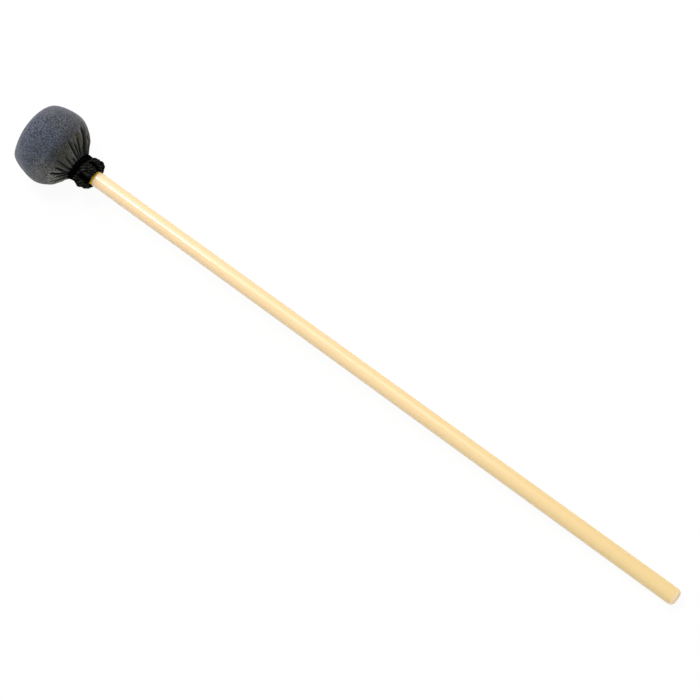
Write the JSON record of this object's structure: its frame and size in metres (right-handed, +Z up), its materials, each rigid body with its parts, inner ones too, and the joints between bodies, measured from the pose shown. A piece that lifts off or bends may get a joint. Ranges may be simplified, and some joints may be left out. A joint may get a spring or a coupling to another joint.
{
  "type": "singing bowl striker",
  "caption": "Suede-covered padded head, gathered and bound with black cord to a slim tapered birch handle, for striking a singing bowl.",
  "frame": {"origin": "centre of the handle's flat butt end", "axes": "+X along the handle and out of the butt end, so the head is at -X; +Z up as the striker lies"},
  "size_m": [0.421, 0.0416, 0.0416],
  "materials": {
    "birch": "clear gloss lacquer over fine-grained pale birch",
    "suede": "napped grey suede, matt",
    "black_thread": "black waxed thread, dull",
    "black_cord": "soft black cord, slight sheen",
    "core_rubber": "moulded rubber, matt",
    "felt": "pressed wool felt",
    "pad_felt": "pressed wool felt",
    "tie_thread": "waxed thread"
  },
  "bodies": {
    "root": {"handle": "birch", "cover": "suede", "neck_binding": "black_thread", "collar": "black_cord", "core": "core_rubber", "felt_wrap": "felt", "front_pad": "pad_felt", "tie_thread": "tie_thread"}
  },
  "joints": []
}
